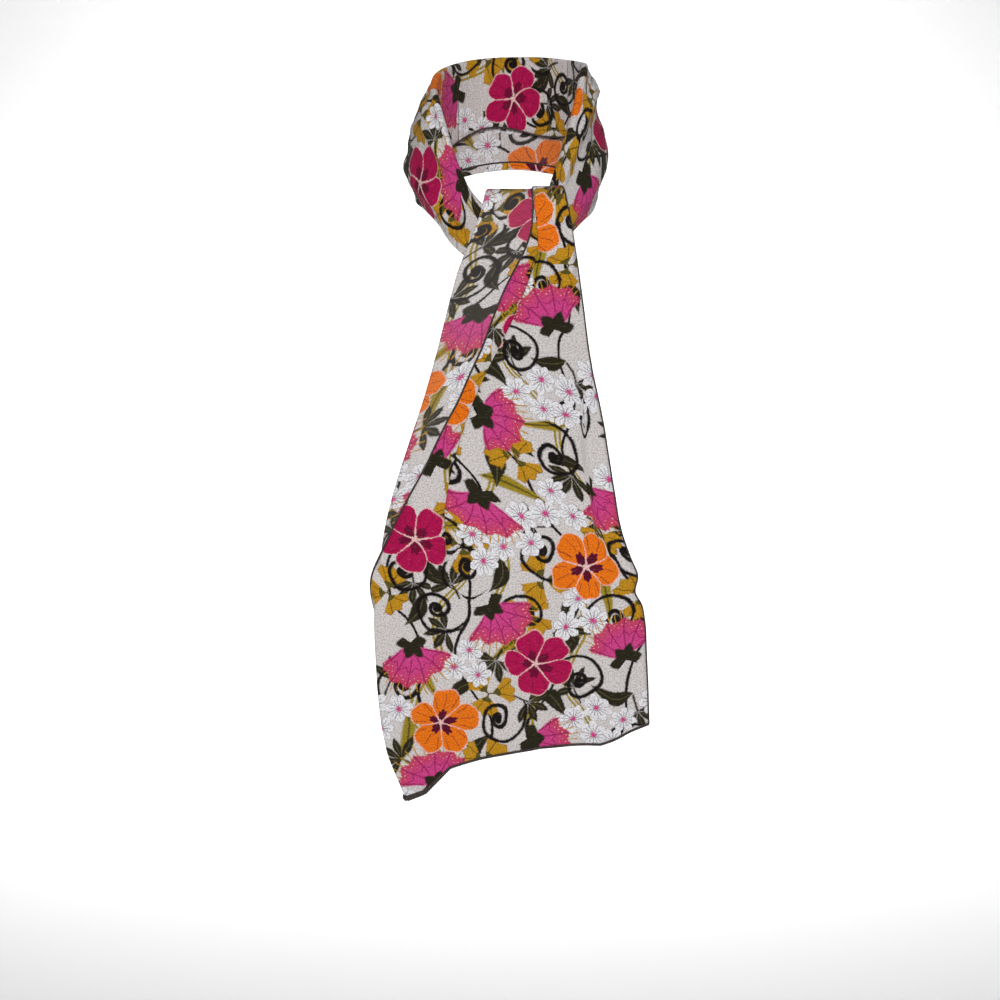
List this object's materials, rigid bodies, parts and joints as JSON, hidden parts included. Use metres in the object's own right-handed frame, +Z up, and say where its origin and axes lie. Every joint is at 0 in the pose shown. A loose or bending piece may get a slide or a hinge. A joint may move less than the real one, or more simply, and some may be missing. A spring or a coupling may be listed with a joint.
{
  "type": "knitted floral scarf worn once round the neck",
  "caption": "Thin printed scarf wound round an empty neck hollow, its front end folded over the crossing and hanging as a wide fan.",
  "frame": {"origin": "middle of the empty neck hollow, level with the upper front of the band", "axes": "+Z up along the neck, -Y to the front where the tails hang, +X to the right as seen from the front"},
  "size_m": [0.2073, 0.2111, 0.5479],
  "materials": {
    "cloth": "matt fine knit, floral print",
    "edging": "matt rolled thread edge"
  },
  "bodies": {
    "root": {"neck_back": "cloth", "neck_left": "cloth", "neck_right": "cloth", "wrap": "cloth", "front_tail": "cloth", "under_tail": "cloth"}
  },
  "joints": []
}
